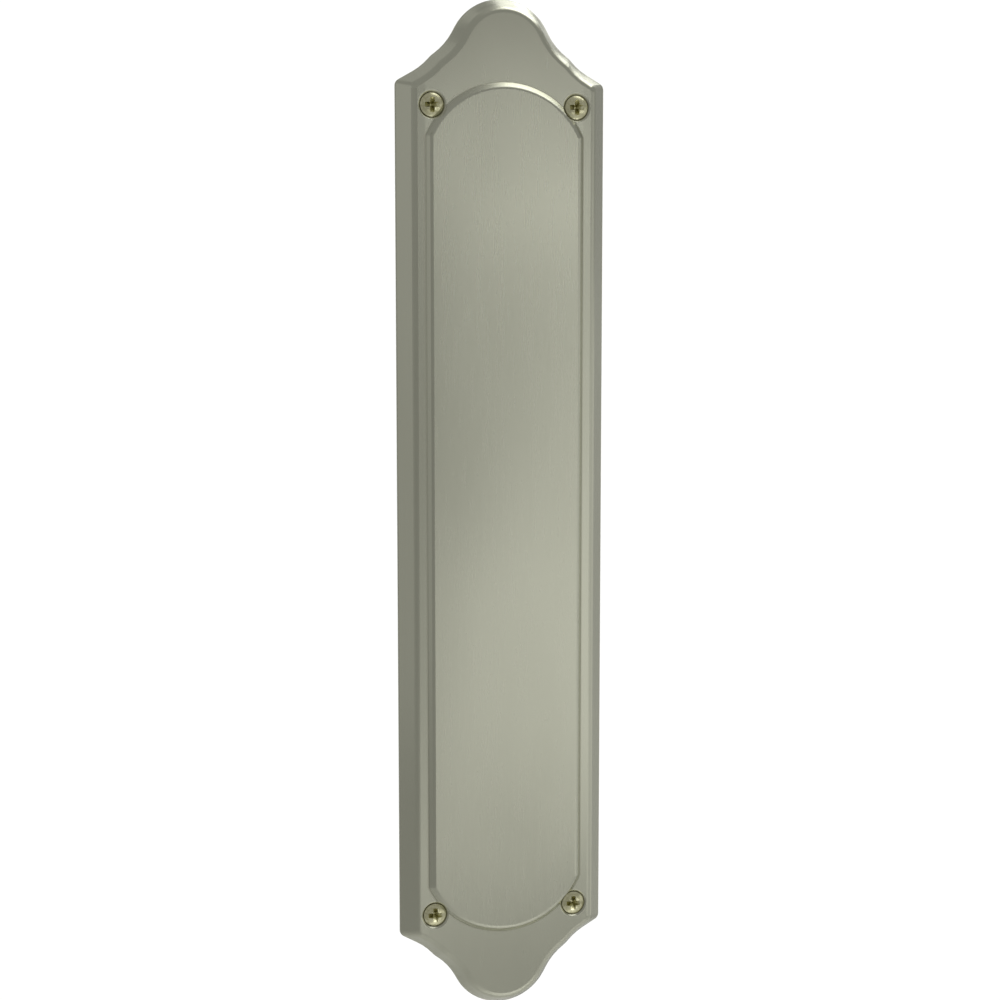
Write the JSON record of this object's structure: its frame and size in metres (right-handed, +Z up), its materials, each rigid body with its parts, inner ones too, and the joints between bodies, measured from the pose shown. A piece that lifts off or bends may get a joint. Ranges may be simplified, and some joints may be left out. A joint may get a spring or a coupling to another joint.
{
  "type": "door handle backplate",
  "caption": "Long bevelled backplate with scalloped ends and a raised arched panel, screwed flat to a door face through its corners.",
  "frame": {"origin": "centre of the screw pattern on the plane of the plate's back, which lies on the door", "axes": "+Z up the door along the plate, +Y out of the back into the door, -Y out of the front"},
  "size_m": [0.0606, 0.0218, 0.29],
  "materials": {
    "satin_nickel": "brushed satin nickel over cast brass",
    "plated_steel": "bright warm nickel plating"
  },
  "bodies": {
    "root": {"backplate": "satin_nickel", "fixing_screws": "plated_steel"}
  },
  "joints": []
}
